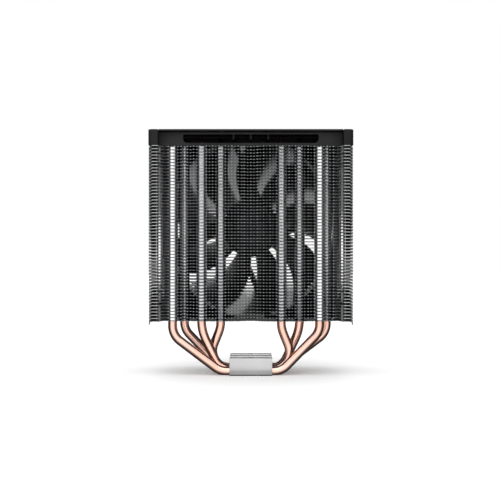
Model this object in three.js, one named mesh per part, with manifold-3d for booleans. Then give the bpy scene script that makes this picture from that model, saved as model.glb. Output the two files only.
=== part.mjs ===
// A tower cooler for a processor: a direct-touch base, four bent heat pipes, a stack of
// thin fins, a top cover and a 120 mm fan held by two spring-wire clips.
// Millimetres. +Z is up, +Y points at the fan. The origin is the centre of the contact face.
import * as THREE from "three";
import { mergeVertices } from "three/addons/utils/BufferGeometryUtils.js";
import Module from "manifold-3d";

const wasm = await Module();
wasm.setup();

// ---------------------------------------------------------------- driving dimensions

const GAP = 0.15; // assembly clearance between pieces that touch on the real object

const BASE = { width: 28, depth: 37, height: 11.4 };
const BASE_TOP = {
  channelWidth: 5,
  channelDepth: 0.9,
  channelY: 7,
  holeY: 12, // one hole behind and one in front of the channels
  holeRadius: 1.6,
  holeDepth: 4.5,
};

const PIPE = { radius: 3, pitch: 8.6, axisZ: 2.5, topZ: 157.4, sides: 8 };
// One entry per kind of leg, outermost first: where its riser stands, where its slanted run
// would meet the base axis, and the height and radius of the bend into the riser.
const LEGS = {
  outer: { riserX: 51.5, footX: 20.3, kneeZ: 26.0, kneeRadius: 12.5 },
  wide: { riserX: 45.2, footX: 20.3, kneeZ: 28.2, kneeRadius: 12.5 },
  middle: { riserX: 32.8, footX: 20.6, kneeZ: 28.5, kneeRadius: 30 },
  inner: { riserX: 20.3, footX: 31.4, kneeZ: 30.0, kneeRadius: 20 },
};
const FOOT_RADIUS = 12;
// The legs of each pipe from front to back. The layout is the same after a half turn.
const PIPES = [
  { left: "outer", right: "wide" },
  { left: "middle", right: "inner" },
  { left: "inner", right: "middle" },
  { left: "wide", right: "outer" },
];

const FIN = { count: 56, perPack: 4, bottomZ: 35.6, pitch: 2.075, thickness: 0.4 };
const STACK = {
  halfWidth: 67.5, // widest, at the sides
  cornerX: 64.2, // where the corner chamfer ends
  halfDepth: 25,
  chamferY: 10,
  wingX: 60.4, // inner edge of the wing at each front corner
  dipX: 57.5, // foot of the wing
  frontY: -18.5, // front edge between the wings
};
// The slot that each clip's upright lies in. It slants back to its mouth, where the rear side
// has a lip that keeps the wire from slipping out.
const CLIP_SLOT = { floorX: 60, frontY: 19, backY: 21.4, mouthFrontY: 19.6, lipX: 65.2, lipY: 22.9 };
const SKIRT = { thickness: 0.4 };

const COVER = { bottomZ: 150.28, topZ: 160.6, halfWidth: 66.7, halfDepth: 25, wall: 1.8 };
// Between the end caps the cover is narrower front to back, and open under the top plate.
const COVER_MIDDLE = { halfWidth: 60.2, halfDepth: 17.2, wall: 1, topZ: 159.3 };
// The long opening in the cover's front: upright ends with rounded lower corners.
const SLOT = { half: 44.2, topZ: 157.7, bottomZ: 152.35, round: 2.6 };
const TOP_PLATE = { halfWidth: 60, halfDepth: 24.8, bottomZ: 159.45 };
const RIBS = { thickness: 1.2, bottomZ: 154, topZ: 159, x: [-11.4, 0, 11.4] };

const FAN = {
  size: 120,
  cornerRadius: 6,
  frontY: 26.2, // exhaust face, towards the fins
  backY: 51.2, // intake face
  centreZ: 96.8,
  boreRadius: 58.2,
  ringRadius: 59.6,
  flange: 4,
  holePitch: 105,
  holeRadius: 2.15,
};
const MOTOR_PLATE = { radius: 17.8, thickness: 2 };
// The struts run straight, each passing beside the fan's axis at a distance.
const STRUT = { count: 4, firstAngle: 24.3, offset: 12.6, width: 5, depth: 3.2 };
const BEARING_TUBE = { outer: 4.2, inner: 3.2, endY: 41 };
const HUB = { radius: 19.3, wall: 1.6, openY: 29.8, closedY: 49.4, bossRadius: 3, bossY: 42 };
const BLADE = {
  count: 9,
  tipRadius: 57,
  rootRadius: 18.6,
  backY: 47.4,
  frontY: 31.2,
  rootSpan: 31, // degrees of turn from front edge to back edge, seen along the axis
  tipSpan: 29,
  sweep: -20, // degrees the tip lags behind the root
  firstAngle: 95.5,
  thickness: 1.3,
};
const SHAFT = { radius: 1.5, frontY: 28.7, backY: 47.2 };
const YOKE = { outer: 17.5, inner: 16.6, frontY: 30.4, backY: 46.6 };
const MAGNET = { outer: 16.3, inner: 14.4, frontY: 31, backY: 43.5 };
const STATOR = {
  firstAngle: 10,
  radius: 13.6,
  hole: 4.4,
  frontY: 33,
  backY: 41,
  armWidth: 4,
  shoeDepth: 1.8,
};
const COIL = { inner: 6.8, outer: 10.9, build: 1.3 };
const BOARD = { radius: 14, hole: 4.5, frontY: 29.3, thickness: 1.2 };
const SLEEVE = { outer: 3.05, inner: 1.62, frontY: 30, backY: 40.6 };
const RETAINER = { outer: 2.6, frontY: 29.2, thickness: 0.5 };
const LABEL = { radius: 16.4, thickness: 0.45 };
const PAD = { arm: 15, width: 5.2, thickness: 0.95 };

const CLIP = {
  wire: 0.9, // radius
  sideX: 61.4, // where the arms run beside the fan frame
  sideY: 31,
  seatX: 61.2,
  seatY: 20.2,
  seatHalf: 40, // half the length of the upright that lies in the fins' slot
  passX: [66.9, 66.3], // where the arms pass the edges of the fins
  passY: [21.6, 26.6],
  passHalf: [42, 45],
  stub: 2.4,
  bend: 1.4,
};
// The cable leaves the motor in a channel beside one strut and runs up the frame's side.
const CABLE = {
  radius: 1.1,
  strutAngle: 204.3,
  offset: 7.65, // how far the channel passes from the fan's axis
  channelWidth: 5.9,
  channelDepth: 2.7,
  startRadius: 15.2,
  grooveY: 28.1,
  sideX: -61.3,
  runY: 38,
  topRise: 44.5,
  bend: 3,
  endX: -48.2,
};
const PLUG = { x: -52, y: 38, width: 10, height: 6, length: 12, rise: 52.5 };

// ---------------------------------------------------------------- colours and finishes

const finish = (color, roughness, metalness) =>
  new THREE.MeshStandardMaterial({ color, roughness, metalness });
const MATERIALS = {
  aluminium: finish(0xc9cbce, 0.35, 1),
  machined: finish(0xb9b6ba, 0.4, 1),
  copper: finish(0xe0a58c, 0.28, 1),
  blackCover: finish(0x2b2b2c, 0.55, 0),
  blackGloss: finish(0x18181a, 0.25, 0),
  fanPlastic: finish(0x141415, 0.5, 0),
  steel: finish(0xa9abad, 0.3, 1),
  ferrite: finish(0x333334, 0.8, 0),
  winding: finish(0xb5622f, 0.4, 1),
  board: finish(0x1f5a35, 0.6, 0),
  bronze: finish(0xa9793f, 0.45, 1),
  label: finish(0x5d5f62, 0.6, 0),
  rubber: finish(0x232323, 0.9, 0),
  cable: finish(0x101010, 0.7, 0),
};

// ---------------------------------------------------------------- shape helpers

// A closed three.js geometry as a solid, turned face out if its profile ran the wrong way.
function solidOf(geometry) {
  const bare = new THREE.BufferGeometry().setAttribute(
    "position",
    (geometry.index ? geometry.toNonIndexed() : geometry).getAttribute("position"),
  );
  const merged = mergeVertices(bare, 1e-4);
  const vertProperties = new Float32Array(merged.attributes.position.array);
  const triVerts = new Uint32Array(merged.index.array);
  const make = () => new wasm.Manifold(new wasm.Mesh({ numProp: 3, vertProperties, triVerts }));
  const solid = make();
  if (solid.volume() > 0) return solid;
  for (let i = 0; i < triVerts.length; i += 3)
    [triVerts[i + 1], triVerts[i + 2]] = [triVerts[i + 2], triVerts[i + 1]];
  return make();
}

function geometryOf(solid) {
  const { vertProperties, triVerts, numProp, numVert } = solid.getMesh();
  const position = new Float32Array(numVert * 3);
  for (let i = 0; i < numVert; i++)
    position.set(vertProperties.subarray(i * numProp, i * numProp + 3), i * 3);
  const geometry = new THREE.BufferGeometry()
    .setAttribute("position", new THREE.BufferAttribute(position, 3))
    .setIndex(new THREE.BufferAttribute(new Uint32Array(triVerts), 1));
  geometry.computeVertexNormals();
  return geometry;
}

const join = (solids) => solids.reduce((a, b) => a.add(b));
const radians = THREE.MathUtils.degToRad;

function box(x0, x1, y0, y1, z0, z1) {
  const geometry = new THREE.BoxGeometry(x1 - x0, y1 - y0, z1 - z0);
  return solidOf(geometry.translate((x0 + x1) / 2, (y0 + y1) / 2, (z0 + z1) / 2));
}

function outline(points) {
  return new THREE.Shape(points.map(([x, y]) => new THREE.Vector2(x, y)));
}

function circlePath(x, y, radius, sides, Kind = THREE.Path) {
  const path = new Kind();
  for (let i = 0; i < sides; i++) {
    const a = (2 * Math.PI * (i + 0.5)) / sides;
    path[i ? "lineTo" : "moveTo"](x + radius * Math.cos(a), y + radius * Math.sin(a));
  }
  path.closePath();
  return path;
}

// A plan shape (x, y) raised from z0 to z1.
function raise(shape, z0, z1) {
  const geometry = new THREE.ExtrudeGeometry(shape, { depth: z1 - z0, bevelEnabled: false });
  return solidOf(geometry.translate(0, 0, z0));
}

// A front-view shape (x, z) pushed from y0 to y1.
function push(shape, y0, y1) {
  const geometry = new THREE.ExtrudeGeometry(shape, { depth: y1 - y0, bevelEnabled: false });
  return solidOf(geometry.rotateX(Math.PI / 2).translate(0, y1, 0));
}

// A ring or disc about the fan's axis. inner 0 gives a disc.
function ring(outer, inner, y0, y1, sides) {
  const shape = circlePath(0, FAN.centreZ, outer, sides, THREE.Shape);
  if (inner > 0) shape.holes.push(circlePath(0, FAN.centreZ, inner, sides));
  return push(shape, y0, y1);
}

// A point beside the fan's axis. Angle 0 is +X and 90 is up.
function around(radius, degrees, y) {
  const a = radians(degrees);
  return new THREE.Vector3(radius * Math.cos(a), y, FAN.centreZ + radius * Math.sin(a));
}

// The centre line of a bent rod: straight runs between corners, each corner a round bend.
// It has stations only at its ends and along its bends.
class BentRod extends THREE.Curve {
  constructor(corners, stepDegrees) {
    super();
    const at = corners.map((c) => c.point);
    this.stations = [{ point: at[0], tangent: at[1].clone().sub(at[0]).normalize() }];
    for (let i = 1; i < at.length - 1; i++)
      this.addBend(at[i - 1], at[i], at[i + 1], corners[i].radius, stepDegrees);
    const last = at.length - 1;
    const tangent = at[last].clone().sub(at[last - 1]).normalize();
    this.stations.push({ point: at[last], tangent });
  }

  addBend(before, corner, after, radius, stepDegrees) {
    const into = corner.clone().sub(before).normalize();
    const out = after.clone().sub(corner).normalize();
    const turn = into.angleTo(out);
    const axis = into.clone().cross(out).normalize();
    const start = corner.clone().addScaledVector(into, -radius * Math.tan(turn / 2));
    const centre = start.clone().addScaledVector(axis.clone().cross(into), radius);
    const steps = Math.ceil(THREE.MathUtils.radToDeg(turn) / stepDegrees);
    for (let k = 0; k <= steps; k++) {
      const spin = new THREE.Quaternion().setFromAxisAngle(axis, (turn * k) / steps);
      this.stations.push({
        point: start.clone().sub(centre).applyQuaternion(spin).add(centre),
        tangent: into.clone().applyQuaternion(spin),
      });
    }
  }

  get steps() {
    return this.stations.length - 1;
  }

  getPointAt(u) {
    return this.stations[Math.round(u * this.steps)].point.clone();
  }

  getTangentAt(u) {
    return this.stations[Math.round(u * this.steps)].tangent.clone();
  }
}

function rod(corners, radius, sides, stepDegrees) {
  const path = new BentRod(corners, stepDegrees);
  const section = circlePath(0, 0, radius, sides, THREE.Shape);
  const options = { steps: path.steps, extrudePath: path, bevelEnabled: false };
  return solidOf(new THREE.ExtrudeGeometry(section, options));
}

const corner = (x, y, z, radius) => ({ point: new THREE.Vector3(x, y, z), radius });

// ---------------------------------------------------------------- base and heat pipes

const pipeY = (i) => (i - (PIPES.length - 1) / 2) * PIPE.pitch;

function baseBlock() {
  const { width, depth, height } = BASE;
  const [x, y] = [width / 2, depth / 2];
  let block = box(-x, x, -y, y, 0, height);
  PIPES.forEach((_, i) => {
    const groove = new THREE.CylinderGeometry(
      PIPE.radius + GAP,
      PIPE.radius + GAP,
      width + 2,
      2 * PIPE.sides,
    );
    block = block.subtract(
      solidOf(groove.rotateZ(Math.PI / 2).translate(0, pipeY(i), PIPE.axisZ)),
    );
  });
  const t = BASE_TOP;
  const half = t.channelWidth / 2;
  for (const side of [-1, 1]) {
    const at = side * t.channelY;
    const floor = height - t.channelDepth;
    block = block.subtract(box(-x - 1, x + 1, at - half, at + half, floor, height + 1));
    const hole = circlePath(0, side * t.holeY, t.holeRadius, 8, THREE.Shape);
    block = block.subtract(raise(hole, height - t.holeDepth, height + 1));
  }
  return block;
}

// From the top of the left leg down, through the base and up to the top of the right leg.
function heatPipe(i) {
  const y = pipeY(i);
  const half = (name, side) => {
    const leg = LEGS[name];
    return [
      corner(side * leg.riserX, y, PIPE.topZ),
      corner(side * leg.riserX, y, leg.kneeZ, leg.kneeRadius),
      corner(side * leg.footX, y, PIPE.axisZ, FOOT_RADIUS),
    ];
  };
  const corners = [...half(PIPES[i].left, -1), ...half(PIPES[i].right, 1).reverse()];
  const pipe = rod(corners, PIPE.radius, PIPE.sides, 14);
  const below = box(-60, 60, y - 5, y + 5, -5, 0);
  return pipe.subtract(below);
}

// ---------------------------------------------------------------- fins

function finOutline() {
  const s = STACK;
  const slot = CLIP_SLOT;
  const slope = (s.halfWidth - s.cornerX) / (s.halfDepth - s.chamferY);
  const onChamfer = (y) => [s.cornerX + slope * (s.halfDepth - y), y];
  const right = [
    [s.dipX, s.frontY],
    [s.wingX, -s.halfDepth],
    [s.cornerX, -s.halfDepth],
    [s.halfWidth, -s.chamferY],
    [s.halfWidth, s.chamferY],
    onChamfer(slot.mouthFrontY),
    [slot.floorX, slot.frontY],
    [slot.floorX, slot.backY],
    [slot.lipX, slot.lipY],
    [s.cornerX, s.halfDepth],
  ];
  const left = right.map(([x, y]) => [-x, y]).reverse();
  return outline([...right, ...left]);
}

function pipeHoles() {
  const sides = 5;
  const radius = (PIPE.radius + GAP) / Math.cos(Math.PI / sides);
  return PIPES.flatMap(({ left, right }, i) => [
    circlePath(-LEGS[left].riserX, pipeY(i), radius, sides),
    circlePath(LEGS[right].riserX, pipeY(i), radius, sides),
  ]);
}

// Neighbouring fins held together by their folded side skirts. The lowest skirt hangs one pitch down.
function finPack(index) {
  const shape = finOutline();
  shape.holes.push(...pipeHoles());
  const z = (k) => FIN.bottomZ + (index * FIN.perPack + k) * FIN.pitch;
  const plates = Array.from({ length: FIN.perPack }, (_, k) =>
    raise(shape, z(k), z(k) + FIN.thickness),
  );
  const low = z(0) - FIN.pitch + FIN.thickness + GAP;
  const high = z(FIN.perPack - 1) + FIN.thickness / 2;
  const outer = STACK.halfWidth;
  const inner = outer - SKIRT.thickness;
  const skirts = [
    box(inner, outer, -STACK.chamferY, STACK.chamferY, low, high),
    box(-outer, -inner, -STACK.chamferY, STACK.chamferY, low, high),
  ];
  return join([...plates, ...skirts]);
}

// ---------------------------------------------------------------- cover

// The cover's plan outline, set in by d. The corners are rounded by three short cuts.
function coverOutline(d) {
  const w = COVER.halfWidth - d;
  const h = COVER.halfDepth - d;
  const quarter = [
    [w, h - 9],
    [w - 0.5, h - 3.4],
    [w - 1.3, h - 1.2],
    [w - 3.2, h],
  ];
  const flip = (sx, sy) => quarter.map(([x, y]) => [sx * x, sy * y]);
  return outline([
    ...flip(1, 1),
    ...flip(-1, 1).reverse(),
    ...flip(-1, -1),
    ...flip(1, -1).reverse(),
  ]);
}

function slotShape() {
  const { half, topZ, bottomZ, round } = SLOT;
  const cut = round * (1 - Math.SQRT1_2);
  const corners = [
    [half, topZ],
    [half, bottomZ + round],
    [half - cut, bottomZ + cut],
    [half - round, bottomZ],
  ];
  return outline([...corners, ...corners.map(([x, z]) => [-x, z]).reverse()]);
}

// Two hollow end caps joined by a narrower hollow middle, with a long slot in the front.
function coverFrame() {
  const c = COVER;
  const m = COVER_MIDDLE;
  const whole = raise(coverOutline(0), c.bottomZ, c.topZ);
  const between = box(-m.halfWidth, m.halfWidth, -40, 40, 0, c.topZ + 1);
  const middle = box(-61, 61, -m.halfDepth, m.halfDepth, c.bottomZ, m.topZ);
  let frame = whole.subtract(between).add(middle);
  const hollow = raise(coverOutline(c.wall), 0, m.topZ - 0.6);
  const capWall = m.halfWidth + c.wall;
  const inside = m.halfDepth - m.wall;
  frame = frame
    .subtract(hollow.subtract(box(-capWall, capWall, -40, 40, -1, c.topZ)))
    .subtract(box(-capWall - 1, capWall + 1, -inside, inside, 0, m.topZ - 0.6))
    .subtract(box(-m.halfWidth, m.halfWidth, -inside, inside, 0, c.topZ + 1))
    .subtract(push(slotShape(), -40, 0));
  const ribs = RIBS.x.map((x) => {
    const half = RIBS.thickness / 2;
    const reach = inside + 0.4;
    return box(x - half, x + half, -reach, reach, RIBS.bottomZ, RIBS.topZ);
  });
  return join([frame, ...ribs]);
}

function topPlate() {
  const p = TOP_PLATE;
  return box(-p.halfWidth, p.halfWidth, -p.halfDepth, p.halfDepth, p.bottomZ, COVER.topZ);
}

// ---------------------------------------------------------------- fan, fixed pieces

function flangeShape() {
  const half = FAN.size / 2;
  const cut = FAN.cornerRadius * 0.55;
  const corners = [
    [half, half - cut * 1.8],
    [half - cut * 0.6, half - cut * 0.6],
    [half - cut * 1.8, half],
  ];
  const flip = (sx, sz) => corners.map(([x, z]) => [sx * x, FAN.centreZ + sz * z]);
  return outline([
    ...flip(1, 1),
    ...flip(-1, 1).reverse(),
    ...flip(-1, -1),
    ...flip(1, -1).reverse(),
  ]);
}

function fanFrame() {
  const f = FAN;
  const sides = 32;
  const flange = flangeShape();
  flange.holes.push(circlePath(0, f.centreZ, f.boreRadius, sides));
  const reach = f.holePitch / 2;
  for (const sx of [-1, 1])
    for (const sz of [-1, 1])
      flange.holes.push(circlePath(sx * reach, f.centreZ + sz * reach, f.holeRadius, 8));
  const plateBack = f.frontY + MOTOR_PLATE.thickness;
  const struts = Array.from({ length: STRUT.count }, (_, i) => strut(STRUT.firstAngle + 90 * i));
  const frame = join([
    push(flange, f.frontY, f.frontY + f.flange),
    push(flange, f.backY - f.flange, f.backY),
    ring(f.ringRadius, f.boreRadius, f.frontY, f.backY, sides),
    ring(MOTOR_PLATE.radius, 0, f.frontY, plateBack, 24),
    ring(BEARING_TUBE.outer, 0, plateBack - 0.5, BEARING_TUBE.endY, 12),
    ...struts,
    cableChannel(),
  ]);
  const bearingBore = ring(BEARING_TUBE.inner, 0, plateBack, BEARING_TUBE.endY + 1, 12);
  return frame.subtract(bearingBore).subtract(cableGroove());
}

// How far along a bar the given distance from the fan's axis is, if the bar passes the axis
// at the given offset.
const along = (radius, offset) => Math.sqrt(radius ** 2 - offset ** 2);

// A bar laid beside the fan's axis at an offset, in its own directions, turned into place.
function bar(degrees, offset, width, from, to, y0, y1) {
  const geometry = new THREE.BoxGeometry(to - from, y1 - y0, width);
  geometry.translate((from + to) / 2, (y0 + y1) / 2, -offset);
  return solidOf(geometry.rotateY(-radians(degrees)).translate(0, 0, FAN.centreZ));
}

// A bar from inside the motor plate's rim, clear of the circuit board, out into the ring.
function spoke(degrees, offset, width, depth) {
  const start = along(MOTOR_PLATE.radius, offset) - 2;
  const end = along(FAN.boreRadius + 0.9, offset);
  return bar(degrees, offset, width, start, end, FAN.frontY, FAN.frontY + depth);
}

const strut = (degrees) => spoke(degrees, STRUT.offset, STRUT.width, STRUT.depth);

const cableChannel = () =>
  spoke(CABLE.strutAngle, CABLE.offset, CABLE.channelWidth, CABLE.channelDepth);

// The groove for the cable, along its channel and out through the ring and flange.
function cableGroove() {
  const c = CABLE;
  const width = 2 * c.radius + 0.4;
  const floor = c.grooveY - c.radius - 0.2;
  const start = along(c.startRadius, c.offset) - 0.4;
  return bar(c.strutAngle, c.offset, width, start, FAN.size / 2 + 4, floor, FAN.frontY + 6);
}

function bearingSleeve() {
  return ring(SLEEVE.outer, SLEEVE.inner, SLEEVE.frontY, SLEEVE.backY, 12);
}

// Four T-shaped arms on a ring.
function statorCore() {
  const s = STATOR;
  const hub = ring(6.2, s.hole, s.frontY, s.backY, 12);
  const rim = ring(s.radius, s.radius - s.shoeDepth, s.frontY, s.backY, 16);
  const gaps = [];
  const arms = [];
  for (let i = 0; i < 4; i++) {
    const turn = -radians(90 * i + s.firstAngle);
    const length = s.radius - s.shoeDepth - 5 + 0.4;
    const depth = s.backY - s.frontY;
    const arm = new THREE.BoxGeometry(length, depth, s.armWidth);
    arm.translate(5 + length / 2, (s.frontY + s.backY) / 2, 0);
    arms.push(solidOf(arm.rotateY(turn).translate(0, 0, FAN.centreZ)));
    const gap = new THREE.BoxGeometry(8, depth + 2, 3);
    gap.translate(s.radius, (s.frontY + s.backY) / 2, 0);
    gaps.push(solidOf(gap.rotateY(turn - Math.PI / 4).translate(0, 0, FAN.centreZ)));
  }
  const shoes = gaps.reduce((a, b) => a.subtract(b), rim);
  return join([hub, shoes, ...arms]);
}

// A rectangular coil round one stator arm.
function statorCoil(i) {
  const s = STATOR;
  const c = COIL;
  const clear = 0.2;
  const length = c.outer - c.inner;
  const middle = (c.inner + c.outer) / 2;
  const depth = s.backY - s.frontY + 2 * (c.build + clear);
  const width = s.armWidth + 2 * (c.build + clear);
  const outer = new THREE.BoxGeometry(length, depth, width);
  const inner = new THREE.BoxGeometry(
    length + 2,
    depth - 2 * c.build,
    width - 2 * c.build,
  );
  const place = (geometry) =>
    solidOf(
      geometry
        .translate(middle, (s.frontY + s.backY) / 2, 0)
        .rotateY(-radians(90 * i + s.firstAngle))
        .translate(0, 0, FAN.centreZ),
    );
  return place(outer).subtract(place(inner));
}

function circuitBoard() {
  return ring(BOARD.radius, BOARD.hole, BOARD.frontY, BOARD.frontY + BOARD.thickness, 16);
}

function motorLabel() {
  const back = FAN.frontY - 0.05;
  return ring(LABEL.radius, 0, back - LABEL.thickness, back, 24);
}

// An L-shaped rubber pad on one corner of the frame's exhaust face.
function cornerPad(sx, sz) {
  const edge = FAN.size / 2 - 1.5;
  const start = edge - 3;
  const end = edge - PAD.arm;
  const inset = edge - PAD.width;
  const points = [
    [edge, end],
    [edge, start],
    [start, edge],
    [end, edge],
    [end, inset + 1.6],
    [inset + 1.6, inset + 1.6],
    [inset + 1.6, end],
  ];
  const shape = outline(points.map(([x, z]) => [sx * x, FAN.centreZ + sz * z]));
  const back = FAN.frontY - 0.05;
  return push(shape, back - PAD.thickness, back);
}

// A point on the cable's line in its channel.
function channelPoint(distance) {
  const a = radians(CABLE.strutAngle);
  const x = distance * Math.cos(a) + CABLE.offset * Math.sin(a);
  const z = distance * Math.sin(a) - CABLE.offset * Math.cos(a);
  return new THREE.Vector3(x, CABLE.grooveY, FAN.centreZ + z);
}

// From the motor board along its channel, up the frame's side and in to the plug.
function fanCable() {
  const c = CABLE;
  const start = channelPoint(along(c.startRadius, c.offset));
  const way = channelPoint(1).sub(channelPoint(0));
  const exit = start.clone().addScaledVector(way, (c.sideX - start.x) / way.x);
  const top = FAN.centreZ + c.topRise;
  const corners = [
    { point: start },
    { point: exit, radius: 1.4 },
    corner(c.sideX, c.runY, exit.z + 3.5, c.bend),
    corner(c.sideX, c.runY, top, c.bend),
    corner(c.endX, c.runY, top, c.bend),
    corner(c.endX, c.runY, FAN.centreZ + PLUG.rise - PLUG.height / 2 - 0.1),
  ];
  return rod(corners, c.radius, 6, 30);
}

// The four-pin plug: a block with a socket and two keying ribs.
function cablePlug() {
  const p = PLUG;
  const [x0, x1] = [p.x - p.width / 2, p.x + p.width / 2];
  const [y0, y1] = [p.y - p.length / 2, p.y + p.length / 2];
  const z0 = FAN.centreZ + p.rise - p.height / 2;
  const body = box(x0, x1 + 2, y0, y1, z0, z0 + p.height - 0.1);
  const socket = box(x0 + 0.9, x1 + 1.1, y1 - 5, y1 + 1, z0 + 0.9, z0 + p.height - 1);
  const ribs = [x0 + 2.2, x0 + 5.4].map((x) => box(x, x + 1, y0 + 1, y1 - 1, z0 - 0.8, z0 + 0.4));
  return join([body.subtract(socket), ...ribs]);
}

// ---------------------------------------------------------------- fan, turning pieces

// One blade: a thin curved plate whose pitch eases off and whose line sweeps back to the tip.
function blade(index) {
  const b = BLADE;
  const [spanSteps, chordSteps] = [3, 2];
  const first = b.firstAngle + (360 / b.count) * index;
  const vertices = [];
  const at = (i, j, side) => (i * (chordSteps + 1) + j) * 2 + side;
  for (let i = 0; i <= spanSteps; i++) {
    const s = i / spanSteps;
    const radius = b.rootRadius + (b.tipRadius - b.rootRadius) * s;
    const span = b.rootSpan + (b.tipSpan - b.rootSpan) * s;
    const middle = first + b.sweep * s * s;
    for (let j = 0; j <= chordSteps; j++) {
      const t = j / chordSteps - 0.5;
      const bow = 1.6 * (1 - 4 * t * t);
      const y = (b.backY + b.frontY) / 2 - t * (b.backY - b.frontY) - bow;
      for (const side of [-0.5, 0.5]) {
        const p = around(radius, middle + span * t, y + side * b.thickness);
        vertices.push(p.x, p.y, p.z);
      }
    }
  }
  const faces = [];
  const quad = (a, c, d, e) => faces.push(a, c, d, a, d, e);
  for (let i = 0; i < spanSteps; i++)
    for (let j = 0; j < chordSteps; j++)
      for (const side of [0, 1]) {
        const q = [at(i, j, side), at(i, j + 1, side), at(i + 1, j + 1, side), at(i + 1, j, side)];
        quad(...(side ? q : q.reverse()));
      }
  for (let i = 0; i < spanSteps; i++) {
    quad(at(i, 0, 0), at(i, 0, 1), at(i + 1, 0, 1), at(i + 1, 0, 0));
    const j = chordSteps;
    quad(at(i, j, 1), at(i, j, 0), at(i + 1, j, 0), at(i + 1, j, 1));
  }
  for (let j = 0; j < chordSteps; j++) {
    quad(at(0, j, 1), at(0, j, 0), at(0, j + 1, 0), at(0, j + 1, 1));
    const i = spanSteps;
    quad(at(i, j, 0), at(i, j, 1), at(i, j + 1, 1), at(i, j + 1, 0));
  }
  const geometry = new THREE.BufferGeometry();
  geometry.setAttribute("position", new THREE.Float32BufferAttribute(vertices, 3));
  geometry.setIndex(faces);
  return solidOf(geometry);
}

function impeller() {
  const h = HUB;
  const sides = 32;
  const cup = ring(h.radius, 0, h.openY, h.closedY, sides);
  const hollow = ring(h.radius - h.wall, 0, h.openY - 1, h.closedY - h.wall, sides);
  const boss = ring(h.bossRadius, 0, h.bossY, h.closedY - 1, 10);
  const socket = ring(SHAFT.radius + 0.1, 0, h.bossY - 1, SHAFT.backY + 0.2, 10);
  const blades = Array.from({ length: BLADE.count }, (_, i) => blade(i));
  return join([cup, ...blades]).subtract(hollow).add(boss).subtract(socket);
}

function rotorYoke() {
  const wall = ring(YOKE.outer, YOKE.inner, YOKE.frontY, YOKE.backY, 24);
  const face = ring(YOKE.outer, HUB.bossRadius + 0.6, YOKE.backY - 1, YOKE.backY, 24);
  return wall.add(face);
}

function magnetRing() {
  return ring(MAGNET.outer, MAGNET.inner, MAGNET.frontY, MAGNET.backY, 24);
}

function fanShaft() {
  return ring(SHAFT.radius, 0, SHAFT.frontY, SHAFT.backY, 10);
}

function retainingRing() {
  const r = RETAINER;
  return ring(r.outer, SHAFT.radius + 0.1, r.frontY, r.frontY + r.thickness, 10);
}

// ---------------------------------------------------------------- spring-wire clips

// From a stub in the fan's upper hole, round the frame, into the slot in the fins and back.
function wireClip(side) {
  const c = CLIP;
  const reach = FAN.holePitch / 2;
  const outY = FAN.backY + c.wire + 0.2;
  const upper = [
    [reach, FAN.backY - c.stub, reach],
    [reach, outY, reach],
    [c.sideX, outY, reach],
    [c.sideX, c.sideY, reach],
    [c.passX[1], c.passY[1], c.passHalf[1]],
    [c.passX[0], c.passY[0], c.passHalf[0]],
    [c.seatX, c.seatY, c.seatHalf],
  ];
  const lower = upper.map(([x, y, z]) => [x, y, -z]).reverse();
  const corners = [...upper, ...lower].map(([x, y, z]) =>
    corner(side * x, y, FAN.centreZ + z, c.bend),
  );
  return rod(corners, c.wire, 6, 45);
}

// ---------------------------------------------------------------- assembly

const cooler = new THREE.Group();

function place(name, solid, material) {
  const mesh = new THREE.Mesh(geometryOf(solid), material);
  mesh.name = name;
  cooler.add(mesh);
}

const M = MATERIALS;
place("base_block", baseBlock(), M.machined);
PIPES.forEach((_, i) => place(`heat_pipe_${i + 1}`, heatPipe(i), M.copper));
for (let i = 0; i < FIN.count / FIN.perPack; i++)
  place(`fin_pack_${String(i + 1).padStart(2, "0")}`, finPack(i), M.aluminium);
place("cover_frame", coverFrame(), M.blackCover);
place("top_plate", topPlate(), M.blackGloss);

place("fan_frame", fanFrame(), M.fanPlastic);
place("bearing_sleeve", bearingSleeve(), M.bronze);
place("stator_core", statorCore(), M.steel);
for (let i = 0; i < 4; i++) place(`stator_coil_${i + 1}`, statorCoil(i), M.winding);
place("motor_board", circuitBoard(), M.board);
place("motor_label", motorLabel(), M.label);
place("pad_top_right", cornerPad(1, 1), M.rubber);
place("pad_top_left", cornerPad(-1, 1), M.rubber);
place("pad_bottom_right", cornerPad(1, -1), M.rubber);
place("pad_bottom_left", cornerPad(-1, -1), M.rubber);
place("fan_cable", fanCable(), M.cable);
place("cable_plug", cablePlug(), M.fanPlastic);

place("impeller", impeller(), M.fanPlastic);
place("rotor_yoke", rotorYoke(), M.steel);
place("magnet_ring", magnetRing(), M.ferrite);
place("fan_shaft", fanShaft(), M.steel);
place("retaining_ring", retainingRing(), M.steel);

place("clip_right", wireClip(1), M.steel);
place("clip_left", wireClip(-1), M.steel);

export default cooler;
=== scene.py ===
import math

import bmesh
import bpy
from mathutils import Matrix, Vector
from mathutils.geometry import tessellate_polygon


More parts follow.
